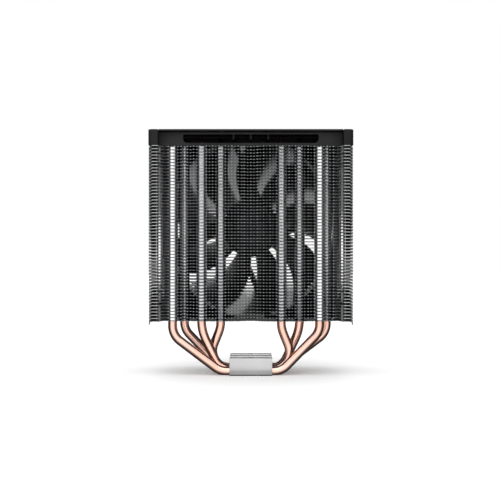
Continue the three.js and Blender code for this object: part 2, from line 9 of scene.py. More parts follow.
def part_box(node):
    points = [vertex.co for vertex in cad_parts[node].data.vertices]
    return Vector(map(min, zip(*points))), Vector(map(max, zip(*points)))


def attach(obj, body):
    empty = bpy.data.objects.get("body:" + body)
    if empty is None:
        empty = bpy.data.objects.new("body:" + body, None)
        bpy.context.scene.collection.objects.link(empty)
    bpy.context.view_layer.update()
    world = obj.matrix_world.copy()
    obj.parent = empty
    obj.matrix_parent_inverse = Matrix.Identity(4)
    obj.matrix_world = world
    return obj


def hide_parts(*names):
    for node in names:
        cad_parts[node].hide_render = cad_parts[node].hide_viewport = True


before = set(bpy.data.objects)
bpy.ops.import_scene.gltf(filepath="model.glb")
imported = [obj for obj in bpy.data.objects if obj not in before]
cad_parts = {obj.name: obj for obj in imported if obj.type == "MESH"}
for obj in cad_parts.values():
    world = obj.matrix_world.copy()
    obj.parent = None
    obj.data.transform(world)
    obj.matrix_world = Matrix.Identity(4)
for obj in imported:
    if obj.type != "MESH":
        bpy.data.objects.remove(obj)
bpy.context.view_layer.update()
MM = 0.001  # shapes below are written in millimetres


def mm_box(node):
    lo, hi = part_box(node)
    return lo / MM, hi / MM


# ------------------------------------------------------------------ places from the frame

BASE_LO, BASE_HI = mm_box("base_block")
COVER_LO, COVER_HI = mm_box("cover_frame")
PLATE_LO, PLATE_HI = mm_box("top_plate")
FAN_LO, FAN_HI = mm_box("fan_frame")
HUB_BACK = mm_box("impeller")[1].y
FAN_Z = (FAN_LO.z + FAN_HI.z) / 2
PACKS = [mm_box(f"fin_pack_{i:02d}") for i in range(1, 15)]
FINS_PER_PACK = 4
FIN_PITCH = (PACKS[-1][1].z - PACKS[0][1].z) / (FINS_PER_PACK * (len(PACKS) - 1))
PIPE_BOXES = [mm_box(f"heat_pipe_{i}") for i in range(1, 5)]

# ------------------------------------------------------------------ sizes of the finer shapes

# The brightness of the base's sides against height, from the lapped edge up: painted shade, with a line
# of painted contact shadow at the edge and a duller band of painted shade above it.
BASE_PAINTED_SHADES = [(0.0, 0.08), (0.45, 0.08), (0.8, 0.5), (2.9, 0.5), (4.3, 0.63), (BASE_HI.z, 0.63)]
BASE_FACE = 0.3  # depth of the strip behind the front face that keeps the face's tone, outside the top's painted highlight
BASE_TOP_BAND = 1.2  # height of the ridged top's painted highlight, down past the channels' floors
# Each of the two holes with the small chamfer round it, and how dark the painted shade inside it is.
BASE_HOLE = {"y": 12, "radius": 1.75, "shade": 0.02}

PIPE_RADIUS = 3.0
PIPE_AXIS_Z = 2.5
# Each kind of leg: where its riser stands, where its slanted run would meet the base axis,
# and the height and radius of the upper bend.
LEG_SHAPES = {
    "outer": {"riser": 51.5, "foot": 20.3, "knee_z": 26.0, "knee_radius": 12.5},
    "wide": {"riser": 45.2, "foot": 20.3, "knee_z": 28.2, "knee_radius": 12.5},
    "middle": {"riser": 32.8, "foot": 20.6, "knee_z": 28.5, "knee_radius": 30.0},
    "inner": {"riser": 20.3, "foot": 31.4, "knee_z": 30.0, "knee_radius": 20.0},
}
LEGS = [("outer", "wide"), ("middle", "inner"), ("inner", "middle"), ("wide", "outer")]
FOOT_RADIUS = 12.0
# How the tubes' tips narrow: distance from the tip and share of the full radius.
SWAGED_TIP = [(0, 0.12), (0.15, 0.3), (0.6, 0.42), (1.3, 0.48), (2.2, 0.62), (3.2, 0.83),
              (4.2, 0.96), (5.2, 1)]

FIN_THICKNESS = 0.4
FIN_HALF_DEPTH = PACKS[0][1].y
FIN_HALF_WIDTH = PACKS[0][1].x
FIN_CORNER_X = 64.2
FIN_CHAMFER_Y = 10.0
WING_X = 60.4
OUTER_EDGE_X = 54.5  # beyond this the fins' edges are painted lighter, as painted light
TOOTH_PITCH = 4.15
TOOTH_DEPTH = 2.0
TOOTH_TIP = 0.35  # half widths of the flats at the teeth's tips and between them
TOOTH_ROOT = 0.25
TEETH_PER_HALF = 13
# How far the fin's edge lies behind its corner wings, against distance from the middle.
FRONT_WAVE = [(0, 8.3), (3.8, 6.7), (7, 4.6), (15, 3), (26, 3), (37, 4.6), (43.5, 7.2),
              (49.5, 5.4), (53.8, 6.8), (56.9, 10.3)]
BACK_WAVE = [(0, 2.6), (15, 1.6), (30, 2.2), (44, 1.2), (56.9, 2.4)]
BACK_WING = [(62.2, 25.0), (60.9, 22.6), (56.9, 22.6)]
SLOT_MOUTH = (65.39, 19.6)
SLOT_LIP = (65.2, 22.9)
CLIP_SLOT = [SLOT_MOUTH, (60.0, 19.0), (60.0, 21.4), SLOT_LIP]
FULL_DROP = FIN_PITCH - FIN_THICKNESS - 0.12
TAB_DROP = 1.2
HANGING_DROP = 2.9
# The folded skirts of one side: a point of the fin's edge and how far the fold hangs there.
SKIRTS = [
    [((FIN_CORNER_X, -FIN_HALF_DEPTH), 0.15), ((FIN_HALF_WIDTH, -FIN_CHAMFER_Y), TAB_DROP),
     ((FIN_HALF_WIDTH, 9.0), TAB_DROP), ((FIN_HALF_WIDTH, FIN_CHAMFER_Y), FULL_DROP),
     (SLOT_MOUTH, FULL_DROP)],
    [(SLOT_LIP, FULL_DROP), ((FIN_CORNER_X, FIN_HALF_DEPTH), FULL_DROP)],
    [(point, FULL_DROP) for point in BACK_WING],
]
# The section of a folded skirt: how far in from the outside, and height. Its low edge follows.
FOLD = [(0.55, 0.0), (0.16, -0.02), (0.04, -0.14), (0.0, -0.3)]
FOLD_WALL = 0.36
COLLAR = {"inner": 3.12, "outer": 3.5, "root": 3.7, "height": 1.62}
COLLAR_SIDES = 20
PIPE_HOLE_RADIUS = 3.3
FIN_FINISHES = ("fin", "fin_edge", "collar", "wing_edge")
# The slots: the sheet, the sheared edges darker as painted shade, the collars painted light, and the
# side edges painted light.
FACE, SHEARED_AND_SHADED, DRAWN, LIT_EDGE = range(len(FIN_FINISHES))


# ------------------------------------------------------------------ mesh helpers

SMOOTH_BELOW = 38  # degrees between two faces up to which they are shaded as one surface
SHARP_EDGE = math.radians(40)
NEARLY_FLAT = math.radians(0.5)


class Build:
    """Faces of one piece, collected in millimetres."""

    def __init__(self):
        self.verts = []
        self.faces = []
        self.slots = []

    def add(self, shape, slot=0):
        """Adds a shape whose faces take one material slot, or one slot each from a list."""
        verts, faces = shape
        first = len(self.verts)
        self.verts += [tuple(v) for v in verts]
        self.faces += [[first + i for i in face] for face in faces]
        self.slots += slot if isinstance(slot, list) else [slot] * len(faces)
        return self

    def piece(self, name, materials, smooth=SMOOTH_BELOW):
        mesh = bpy.data.meshes.new(name)
        mesh.from_pydata([Vector(v) * MM for v in self.verts], [], self.faces)
        mesh.polygons.foreach_set("material_index", self.slots)
        bm = bmesh.new()
        bm.from_mesh(mesh)
        bmesh.ops.remove_doubles(bm, verts=bm.verts, dist=1e-7)
        bmesh.ops.recalc_face_normals(bm, faces=bm.faces)
        bm.to_mesh(mesh)
        bm.free()
        return finish_mesh(name, mesh, materials, smooth)


def finish_mesh(name, mesh, materials, smooth):
    for material in materials if isinstance(materials, list) else [materials]:
        mesh.materials.append(material)
    mesh.polygons.foreach_set("use_smooth", [True] * len(mesh.polygons))
    mesh.set_sharp_from_angle(angle=math.radians(smooth))
    piece = bpy.data.objects.new(name, mesh)
    bpy.context.scene.collection.objects.link(piece)
    return piece


def settle(piece, body, nodes):
    """The piece rides on a body and stands for its CAD nodes, which are hidden."""
    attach(piece, body)
    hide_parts(*nodes)
    return piece


def circle(x, y, radius, sides):
    return [
        (x + radius * math.cos(2 * math.pi * i / sides), y + radius * math.sin(2 * math.pi * i / sides))
        for i in range(sides)
    ]


def rounded(points, radii, steps=5):
    """An outline with its corners rounded by arcs of one radius, or of one radius each."""
    result = []
    count = len(points)
    for i in range(count):
        radius = radii[i] if isinstance(radii, list) else radii
        corner = Vector(points[i])
        before = (Vector(points[i - 1]) - corner).normalized()
        after = (Vector(points[(i + 1) % count]) - corner).normalized()
        half = before.angle(after) / 2
        reach = radius / math.tan(half)
        centre = corner + (before + after).normalized() * radius / math.sin(half)
        start = corner + before * reach - centre
        end = corner + after * reach - centre
        turn = start.angle_signed(end)
        for k in range(steps + 1):
            angle = -turn * k / steps
            c, s = math.cos(angle), math.sin(angle)
            result.append(
                (centre.x + start.x * c - start.y * s, centre.y + start.x * s + start.y * c)
            )
    return result


def rectangle(half_x, half_y, cy=0.0):
    return [(half_x, cy - half_y), (half_x, cy + half_y), (-half_x, cy + half_y), (-half_x, cy - half_y)]


def plate(loops, low, high, bevel, steps=2):
    """A flat shape with holes, given thickness, its rims rounded by bevel."""
    curve = bpy.data.curves.new("plate", "CURVE")
    curve.dimensions = "2D"
    curve.fill_mode = "BOTH"
    curve.extrude = (high - low) / 2 - bevel
    curve.bevel_depth = bevel
    curve.bevel_resolution = steps
    curve.offset = -bevel
    for loop in loops:
        spline = curve.splines.new("POLY")
        spline.points.add(len(loop) - 1)
        for point, (x, y) in zip(spline.points, loop):
            point.co = (x, y, 0, 1)
        spline.use_cyclic_u = True
    holder = bpy.data.objects.new("plate", curve)
    bpy.context.scene.collection.objects.link(holder)
    graph = bpy.context.evaluated_depsgraph_get()
    mesh = bpy.data.meshes.new_from_object(holder.evaluated_get(graph))
    middle = (low + high) / 2
    verts = [(v.co.x, v.co.y, v.co.z + middle) for v in mesh.vertices]
    faces = [list(p.vertices) for p in mesh.polygons]
    bpy.data.objects.remove(holder)
    bpy.data.curves.remove(curve)
    bpy.data.meshes.remove(mesh)
    return verts, faces


def facing_y(shape):
    """Turns a flat shape drawn in (x, z) so that its thickness runs along Y."""
    verts, faces = shape
    return [(x, z, y) for x, y, z in verts], faces


def moved(shape, matrix):
    verts, faces = shape
    return [tuple(matrix @ Vector(v)) for v in verts], faces


def loft(rings, closed=False):
    """Skins successive rings of equal length. Open lofts get a cap at each end."""
    count = len(rings[0])
    verts = [p for ring in rings for p in ring]
    faces = []
    last = len(rings) if closed else len(rings) - 1
    for i in range(last):
        a, b = i * count, ((i + 1) % len(rings)) * count
        for j in range(count):
            k = (j + 1) % count
            faces.append([a + j, a + k, b + k, b + j])
    if not closed:
        faces.append(list(range(count))[::-1])
        faces.append([len(verts) - count + j for j in range(count)])
    return verts, faces


def lathe(profile, sides):
    """Turns a closed (radius, y) profile about the fan's axis."""
    rings = []
    for i in range(sides):
        a = 2 * math.pi * i / sides
        rings.append([(r * math.cos(a), y, FAN_Z + r * math.sin(a)) for r, y in profile])
    return loft(rings, closed=True)


def fillet_path(corners, step):
    """Points and directions along straight runs joined by round bends, every step degrees."""
    points = [Vector(c[0]) for c in corners]
    path = [(points[0], (points[1] - points[0]).normalized())]
    for i in range(1, len(points) - 1):
        radius = corners[i][1]
        into = (points[i] - points[i - 1]).normalized()
        out = (points[i + 1] - points[i]).normalized()
        turn = into.angle(out)
        axis = into.cross(out).normalized()
        start = points[i] - into * radius * math.tan(turn / 2)
        centre = start + axis.cross(into) * radius
        steps = max(2, math.ceil(math.degrees(turn) / step))
        for k in range(steps + 1):
            spin = Matrix.Rotation(turn * k / steps, 3, axis)
            path.append((centre + spin @ (start - centre), spin @ into))
    path.append((points[-1], (points[-1] - points[-2]).normalized()))
    return path


def sweep(path, radius, sides, ends):
    """A round bar along a path. ends lists (distance inwards from the tip, share of radius)."""
    first, first_way = path[0]
    last, last_way = path[-1]
    stations = [(first + first_way * d, first_way, s) for d, s in ends]
    stations += [(p, t, 1.0) for p, t in path[1:-1]]
    stations += [(last - last_way * d, last_way, s) for d, s in reversed(ends)]
    side = first_way.orthogonal().normalized()
    before = first_way
    rings = []
    for point, way, share in stations:
        side = before.rotation_difference(way) @ side
        before = way
        up = way.cross(side).normalized()
        side = up.cross(way).normalized()
        ring = []
        for j in range(sides):
            a = 2 * math.pi * j / sides
            ring.append(point + (side * math.cos(a) + up * math.sin(a)) * radius * share)
        rings.append(ring)
    return loft(rings)


def from_cad(node, name, materials, bevel):
    """A copy of a CAD node with its sharp edges rounded."""
    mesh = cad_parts[node].data.copy()
    mesh.materials.clear()
    bm = bmesh.new()
    bm.from_mesh(mesh)
    bmesh.ops.remove_doubles(bm, verts=bm.verts, dist=2e-6)
    bmesh.ops.dissolve_limit(bm, angle_limit=NEARLY_FLAT, verts=bm.verts, edges=bm.edges)
    sharp = [e for e in bm.edges if e.is_manifold and e.calc_face_angle(0) > SHARP_EDGE]
    bmesh.ops.bevel(
        bm, geom=sharp, offset=bevel * MM, segments=2, profile=0.5, affect="EDGES",
        clamp_overlap=True,
    )
    bmesh.ops.recalc_face_normals(bm, faces=bm.faces)
    bm.to_mesh(mesh)
    bm.free()
    return finish_mesh(name, mesh, materials, SMOOTH_BELOW)


# ------------------------------------------------------------------ materials


def maths(tree, operation, first, second):
    """One sum in a node tree. The first term is a socket, the second a socket or a number."""
    node = tree.nodes.new("ShaderNodeMath")
    node.operation = operation
    tree.links.new(first, node.inputs[0])
    if isinstance(second, (int, float)):
        node.inputs[1].default_value = second
    else:
        tree.links.new(second, node.inputs[1])
    return node.outputs["Value"]


class Nodes:
    """A small helper for writing one material's node tree."""

    def __init__(self, name):
        self.material = bpy.data.materials.new(name)
        self.material.use_nodes = True
        self.tree = self.material.node_tree
        self.shader = self.tree.nodes["Principled BSDF"]
        self.place = self.tree.nodes.new("ShaderNodeTexCoord").outputs["Object"]

    def node(self, kind, **values):
        made = self.tree.nodes.new(kind)
        for key, value in values.items():
            setattr(made, key, value)
        return made

    def maths(self, operation, first, second):
        return maths(self.tree, operation, first, second)

    def link(self, output, socket):
        self.tree.links.new(output, socket)

    def noise(self, scale, stretch=(1, 1, 1), detail=3.0, roughness=0.55):
        """Noise with so many features per metre, squeezed along the axes by stretch."""
        mapping = self.node("ShaderNodeMapping")
        mapping.inputs["Scale"].default_value = stretch
        self.link(self.place, mapping.inputs["Vector"])
        noise = self.node("ShaderNodeTexNoise")
        noise.inputs["Scale"].default_value = scale
        noise.inputs["Detail"].default_value = detail
        noise.inputs["Roughness"].default_value = roughness
        self.link(mapping.outputs["Vector"], noise.inputs["Vector"])
        return noise.outputs["Fac"]

    def blend(self, factor, low, high, at=(0.35, 0.65)):
        """A colour that runs from low to high as factor runs between the two places."""
        ramp = self.node("ShaderNodeValToRGB")
        ramp.color_ramp.elements[0].position = at[0]
        ramp.color_ramp.elements[1].position = at[1]
        ramp.color_ramp.elements[0].color = (*low, 1)
        ramp.color_ramp.elements[1].color = (*high, 1)
        self.link(factor, ramp.inputs["Fac"])
        return ramp.outputs["Color"]

    def spread(self, factor, low, high):
        """A number that runs from low to high over the middle of the noise's range."""
        span = self.node("ShaderNodeMapRange")
        for key, value in zip(("From Min", "From Max", "To Min", "To Max"), (0.3, 0.7, low, high)):
            span.inputs[key].default_value = value
        self.link(factor, span.inputs["Value"])
        return span.outputs["Result"]

    def bump(self, height, distance, strength):
        """Bump of so many millimetres."""
        bump = self.node("ShaderNodeBump")
        bump.inputs["Distance"].default_value = distance * MM
        bump.inputs["Strength"].default_value = strength
        self.link(height, bump.inputs["Height"])
        return bump.outputs["Normal"]

    def set(self, **inputs):
        """Sets or links the shader's inputs, named with underscores for spaces."""
        for key, value in inputs.items():
            socket = self.shader.inputs[key.replace("_", " ")]
            if isinstance(value, bpy.types.NodeSocket):
                self.link(value, socket)
            else:
                socket.default_value = (*value, 1) if isinstance(value, tuple) else value
        return self.material


def sheet_metal(name, shade, roughness):
    """Rolled bare aluminium sheet: fine lines along the roll and a faint cloudiness."""
    n = Nodes(name)
    cloud = n.noise(90, detail=4)
    lines = n.noise(700, stretch=(0.04, 1, 1), detail=2)
    low = (shade - 0.01, shade, shade + 0.01)
    return n.set(
        Base_Color=n.blend(cloud, low, tuple(k + 0.1 for k in low)),
        Metallic=1.0,
        Roughness=n.spread(lines, roughness, roughness + 0.07),
        Normal=n.bump(lines, 0.004, 0.4),
    )


def sheared_edge_and_shade():
    """The torn edge that a stamping die leaves: rougher than the sheet, and darker as painted shade. The
    skirts' inner faces take it too, as painted shade.
    """
    n = Nodes("fin_sheared_edge")
    tear = n.noise(2400, stretch=(1, 1, 0.2), detail=3)
    return n.set(
        Base_Color=n.blend(tear, (0.13, 0.13, 0.133), (0.24, 0.24, 0.245)),
        Metallic=1.0,
        Roughness=n.spread(tear, 0.35, 0.55),
        Normal=n.bump(tear, 0.02, 0.6),
    )


def painted_light_edge():
    """The fins' edges near the sides: a light, satin grey, painted lighter as painted light."""
    n = Nodes("fin_deburred_edge")
    tumbled = n.noise(1600, detail=3)
    return n.set(
        Base_Color=n.blend(tumbled, (0.2, 0.2, 0.205), (0.36, 0.36, 0.365)),
        Metallic=0.35,
        Roughness=n.spread(tumbled, 0.4, 0.55),
        Normal=n.bump(tumbled, 0.01, 0.4),
    )


def milled_metal():
    """Milled aluminium with a fine straight lay along X. Painted shade darkens the lapped edge of the
    contact face, a dull band above it and the inside of the two holes; a painted highlight makes the
    ridged top brightest."""
    n = Nodes("milled_aluminium")
    lay = n.noise(1500, stretch=(0.02, 1, 1), detail=4, roughness=0.65)
    cloud = n.noise(60, detail=3)
    place = n.node("ShaderNodeSeparateXYZ")
    n.link(n.place, place.inputs["Vector"])
    x, y, z = (place.outputs[axis] for axis in "XYZ")
    # Painted shade by height: a line of painted contact shadow at the lapped edge and a duller band of
    # painted shade above it.
    bands = n.node("ShaderNodeValToRGB")
    for _ in BASE_PAINTED_SHADES[2:]:
        bands.color_ramp.elements.new(0.5)
    for stop, (height, level) in zip(bands.color_ramp.elements, BASE_PAINTED_SHADES):
        stop.position = height / BASE_HI.z
        stop.color = (level, level, level, 1)
    n.link(n.maths("DIVIDE", z, BASE_HI.z * MM), bands.inputs["Fac"])
    # A painted highlight on the ridged top, behind the front face.
    behind_face = n.maths("GREATER_THAN", y, (BASE_LO.y + BASE_FACE) * MM)
    near_top = n.maths("GREATER_THAN", z, (BASE_HI.z - BASE_TOP_BAND) * MM)
    ridged = n.maths("MULTIPLY", behind_face, near_top)
    # Painted shade inside the two holes.
    beside = n.maths("SUBTRACT", n.maths("ABSOLUTE", y, 0), BASE_HOLE["y"] * MM)
    reach = n.maths("ADD", n.maths("MULTIPLY", x, x), n.maths("MULTIPLY", beside, beside))
    outside_hole = n.maths("GREATER_THAN", reach, (BASE_HOLE["radius"] * MM) ** 2)
    shade = n.maths("MAXIMUM", bands.outputs["Color"], ridged)
    shade = n.maths("MULTIPLY", shade, n.maths("MAXIMUM", outside_hole, BASE_HOLE["shade"]))
    shaded = n.node("ShaderNodeMix", data_type="RGBA", blend_type="MULTIPLY")
    shaded.inputs["Factor"].default_value = 1.0
    n.link(n.blend(cloud, (0.87, 0.86, 0.87), (0.93, 0.92, 0.93)), shaded.inputs["A"])
    n.link(shade, shaded.inputs["B"])
    return n.set(
        Base_Color=shaded.outputs["Result"],
        Metallic=1.0,
        Roughness=n.spread(lay, 0.3, 0.46),
        Normal=n.bump(lay, 0.03, 0.6),
    )


def pipe_copper():
    """Drawn copper tube: bright, with faint length-wise lines and slight warm tinting."""
    n = Nodes("copper")
    tint = n.noise(55, detail=5)
    lines = n.noise(1600, stretch=(1, 1, 0.03), detail=2)
    return n.set(
        Base_Color=n.blend(tint, (0.93, 0.56, 0.45), (0.96, 0.64, 0.54)),
        Metallic=1.0,
        Roughness=n.spread(lines, 0.16, 0.26),
        Normal=n.bump(lines, 0.015, 0.5),
    )


def moulded_black(name, shade, roughness, grain, depth, shine):
    """Moulded black plastic with a fine spark-eroded texture."""
    n = Nodes(name)
    texture = n.noise(grain, detail=2, roughness=0.5)
    cloud = n.noise(40, detail=3)
    low = tuple(shade * k for k in (0.8, 0.8, 0.82))
    high = tuple(shade * k for k in (1.15, 1.15, 1.2))
    return n.set(
        Base_Color=n.blend(cloud, low, high),
        Specular_IOR_Level=shine,
        Roughness=n.spread(texture, roughness - 0.06, roughness + 0.08),
        Normal=n.bump(texture, depth, 0.8),
    )


def spring_steel():
    n = Nodes("spring_wire")
    lines = n.noise(1200, stretch=(1, 1, 0.05), detail=2)
    return n.set(
        Base_Color=n.blend(n.noise(150), (0.5, 0.5, 0.51), (0.66, 0.66, 0.67)),
        Metallic=1.0,
        Roughness=n.spread(lines, 0.22, 0.36),
        Normal=n.bump(lines, 0.01, 0.5),
    )


def pressed_steel():
    n = Nodes("pressed_steel")
    layers = n.noise(2600, stretch=(0.02, 1, 0.02), detail=1)
    return n.set(
        Base_Color=n.blend(layers, (0.36, 0.36, 0.38), (0.55, 0.55, 0.57)),
        Metallic=1.0,
        Roughness=n.spread(layers, 0.3, 0.5),
        Normal=n.bump(layers, 0.03, 0.6),
    )


def enamelled_winding():
    """Copper wire lying side by side, seen as fine ridges."""
    n = Nodes("winding")
    wave = n.node("ShaderNodeTexWave", bands_direction="Y")
    wave.inputs["Scale"].default_value = 900
    wave.inputs["Distortion"].default_value = 0.6
    n.link(n.place, wave.inputs["Vector"])
    return n.set(
        Base_Color=n.blend(wave.outputs["Fac"], (0.28, 0.09, 0.03), (0.72, 0.33, 0.14)),
        Metallic=1.0,
        Roughness=0.3,
        Normal=n.bump(wave.outputs["Fac"], 0.12, 0.8),
    )


def solder_mask():
    n = Nodes("circuit_board")
    traces = n.node("ShaderNodeTexVoronoi", distance="CHEBYCHEV", feature="F1")
    traces.inputs["Scale"].default_value = 420
    n.link(n.place, traces.inputs["Vector"])
    return n.set(
        Base_Color=n.blend(traces.outputs["Distance"], (0.012, 0.09, 0.035), (0.03, 0.19, 0.08)),
        Roughness=0.35,
        Normal=n.bump(traces.outputs["Distance"], 0.03, 0.5),
    )


def porous_bronze():
    n = Nodes("bronze")
    pores = n.noise(2200, detail=3)
    return n.set(
        Base_Color=n.blend(pores, (0.3, 0.18, 0.07), (0.62, 0.42, 0.19)),
        Metallic=1.0,
        Roughness=n.spread(pores, 0.35, 0.6),
        Normal=n.bump(pores, 0.04, 0.6),
    )


def sintered_ferrite():
    n = Nodes("ferrite")
    grains = n.noise(1800, detail=4)
    return n.set(
        Base_Color=n.blend(grains, (0.025, 0.025, 0.027), (0.07, 0.07, 0.072)),
        Roughness=n.spread(grains, 0.6, 0.85),
        Normal=n.bump(grains, 0.03, 0.6),
    )


def ringed_label():
    """A plain foil label: a paler disc in a dark rim, with no print."""
    n = Nodes("label_grey")
    offset = n.node("ShaderNodeVectorMath", operation="SUBTRACT")
    n.link(n.place, offset.inputs[0])
    offset.inputs[1].default_value = (0, FAN_LO.y * MM, FAN_Z * MM)
    length = n.node("ShaderNodeVectorMath", operation="LENGTH")
    n.link(offset.outputs["Vector"], length.inputs[0])
    fibre = n.noise(900, detail=3)
    disc, rim = 9.7 * MM, 10.0 * MM
    colour = n.blend(length.outputs["Value"], (0.2, 0.2, 0.21), (0.05, 0.05, 0.052), (disc, rim))
    return n.set(
        Base_Color=colour,
        Roughness=n.spread(fibre, 0.4, 0.55),
        Normal=n.bump(fibre, 0.01, 0.5),
    )


def soft_rubber():
    n = Nodes("pad_rubber")
    skin = n.noise(1400, detail=3)
    return n.set(
        Base_Color=n.blend(skin, (0.016, 0.016, 0.016), (0.03, 0.03, 0.03)),
        Roughness=n.spread(skin, 0.75, 0.95),
        Normal=n.bump(skin, 0.05, 0.7),
    )


def braided_sleeve():
    """A cable in a woven sleeve: two sets of slanting ridges."""
    n = Nodes("cable_black")
    weave = []
    for tilt in (-0.9, 0.9):
        mapping = n.node("ShaderNodeMapping")
        mapping.inputs["Rotation"].default_value = (tilt, tilt, 0)
        n.link(n.place, mapping.inputs["Vector"])
        wave = n.node("ShaderNodeTexWave")
        wave.inputs["Scale"].default_value = 420
        n.link(mapping.outputs["Vector"], wave.inputs["Vector"])
        weave.append(wave.outputs["Fac"])
    ridges = n.maths("MAXIMUM", *weave)
    return n.set(
        Base_Color=n.blend(ridges, (0.006, 0.006, 0.006), (0.03, 0.03, 0.03)),
        Roughness=0.7,
        Normal=n.bump(ridges, 0.15, 0.8),
    )


MATERIALS = {
    "fin": sheet_metal("fin_aluminium", 0.37, 0.12),
    # The collars are drawn from the same sheet as the fins; their tone, twice the fins', is painted
    # light.
    "collar": sheet_metal("drawn_collar_painted_light", 0.75, 0.14),
    # Sheared edges, darker as painted shade; the skirts' inner faces take it as painted shade too.
    "fin_edge": sheared_edge_and_shade(),
    # Edges near the sides, painted lighter as painted light.
    "wing_edge": painted_light_edge(),
    "base": milled_metal(),
    "copper": pipe_copper(),
    # One black plastic in two tones: the cover's is painted lighter against the shade the end caps cast
    # on its face, and the caps' and ribs' is painted darker as painted shade, against the extra light
    # they catch.
    "cover": moulded_black("cover_black", 0.024, 0.6, 1500, 0.03, shine=0.2),
    "cap": moulded_black("cap_black_painted_shade", 0.011, 0.6, 1500, 0.03, shine=0.2),
    "top": moulded_black("top_plate_black", 0.012, 0.45, 2400, 0.012, shine=0.25),
    "fan": moulded_black("fan_black", 0.011, 0.46, 1300, 0.03, shine=0.3),
    "blade": moulded_black("blade_black", 0.012, 0.4, 900, 0.01, shine=0.3),
    "wire": spring_steel(),
    "steel": pressed_steel(),
    "winding": enamelled_winding(),
    "board": solder_mask(),
    "bronze": porous_bronze(),
    "ferrite": sintered_ferrite(),
    "label": ringed_label(),
    "rubber": soft_rubber(),
    "cable": braided_sleeve(),
}


# ------------------------------------------------------------------ heat pipes


def pipe_corners(lo, hi, kinds):
    """The corners of one pipe's path from tip to tip, each with its bend radius."""
    y = (lo.y + hi.y) / 2
    halves = []
    for kind, side in zip(kinds, (-1, 1)):
        leg = LEG_SHAPES[kind]
        x = leg["riser"]
        halves.append([
            ((side * x, y, hi.z), 0),
            ((side * x, y, leg["knee_z"]), leg["knee_radius"]),
            ((side * leg["foot"], y, PIPE_AXIS_Z), FOOT_RADIUS),
        ])
    return halves[0] + halves[1][::-1]


def heat_pipes():
    """Round tubes with swaged tips, flattened where they are milled flush with the base."""
    for i, ((lo, hi), kinds) in enumerate(zip(PIPE_BOXES, LEGS), start=1):
        path = fillet_path(pipe_corners(lo, hi, kinds), step=4)
        verts, faces = sweep(path, PIPE_RADIUS, 40, SWAGED_TIP)
        verts = [(v[0], v[1], max(v[2], 0.0)) for v in verts]
        pipe = Build().add((verts, faces)).piece(f"heat_pipe_{i}_tube", MATERIALS["copper"], smooth=50)
        settle(pipe, "cooler", [f"heat_pipe_{i}"])


# ------------------------------------------------------------------ fins


def wave_depth(wave, x):
    """How far the fin's edge lies behind its wings at x."""
    x = abs(x)
    for (x0, d0), (x1, d1) in zip(wave, wave[1:]):
        if x <= x1:
            return d0 + (d1 - d0) * (x - x0) / (x1 - x0)
    return wave[-1][1]


def toothed_edge(wave, depth):
    """The wavy toothed edge between the wings, from -X to +X, as (x, depth) points."""
    points = []
    for k in range(-TEETH_PER_HALF, TEETH_PER_HALF + 1):
        x = k * TOOTH_PITCH
        tip = wave_depth(wave, x)
        points += [(x - TOOTH_TIP, tip), (x + TOOTH_TIP, tip)]
        if k < TEETH_PER_HALF:
            valley = x + TOOTH_PITCH / 2
            root = wave_depth(wave, valley) + depth
            points += [(valley - TOOTH_ROOT, root), (valley + TOOTH_ROOT, root)]
    dip_x, dip = wave[-1]
    return [(-dip_x, dip), *points, (dip_x, dip)]


def fin_outline():
    """A fin's outline: toothed front, right side, toothed back and left side."""
    front = [(x, -FIN_HALF_DEPTH + d) for x, d in toothed_edge(FRONT_WAVE, TOOTH_DEPTH)]
    back = [(x, FIN_HALF_DEPTH - d) for x, d in reversed(toothed_edge(BACK_WAVE, TOOTH_DEPTH / 2))]
    side = [(WING_X, -FIN_HALF_DEPTH), (FIN_CORNER_X, -FIN_HALF_DEPTH),
            (FIN_HALF_WIDTH, -FIN_CHAMFER_Y), (FIN_HALF_WIDTH, FIN_CHAMFER_Y), *CLIP_SLOT,
            (FIN_CORNER_X, FIN_HALF_DEPTH), *BACK_WING[:-1]]
    left = [(-x, y) for x, y in reversed(side)]
    return front + side + back + left


def pipe_places():
    places = []
    for (lo, hi), kinds in zip(PIPE_BOXES, LEGS):
        y = (lo.y + hi.y) / 2
        places += [(side * LEG_SHAPES[kind]["riser"], y) for kind, side in zip(kinds, (-1, 1))]
    return places


def skirt(strip, side):
    """A strip folded down from the fin's edge, with a rounded fold, and its faces' slots."""
    points = [point for point, _ in strip]
    rings = []
    for i, (point, drop) in enumerate(strip):
        ahead = Vector(points[min(i + 1, len(points) - 1)])
        behind = Vector(points[max(i - 1, 0)])
        along = (ahead - behind).normalized()
        inward = Vector((-along.y, along.x))
        low = -drop - FIN_THICKNESS
        section = [*FOLD, (0.0, low), (FOLD_WALL, low), (FOLD_WALL, -FIN_THICKNESS),
                   (FOLD[0][0], -FIN_THICKNESS)]
        rings.append([
            (side * (point[0] + inward.x * d), point[1] + inward.y * d, z) for d, z in section
        ])
    # The skirt's inner faces take the sheared finish as painted shade.
    outside, inside = [FACE] * 4, [SHEARED_AND_SHADED] * 4
    return loft(rings), (outside + inside) * (len(strip) - 1) + [SHEARED_AND_SHADED, SHEARED_AND_SHADED]


def collar(x, y):
    """The short drawn tube around a pipe, flared where it leaves the sheet."""
    c = COLLAR
    profile = [(c["inner"], -FIN_THICKNESS), (c["inner"], c["height"]), (c["outer"] - 0.06, c["height"]),
               (c["outer"], c["height"] - 0.08), (c["outer"], 0.45), (c["root"] - 0.15, 0.12),
               (c["root"], 0.0), (c["root"], -FIN_THICKNESS / 2), (c["outer"], -FIN_THICKNESS)]
    rings = []
    for i in range(COLLAR_SIDES):
        a = 2 * math.pi * i / COLLAR_SIDES
        rings.append([(x + r * math.cos(a), y + r * math.sin(a), z) for r, z in profile])
    return loft(rings, closed=True)


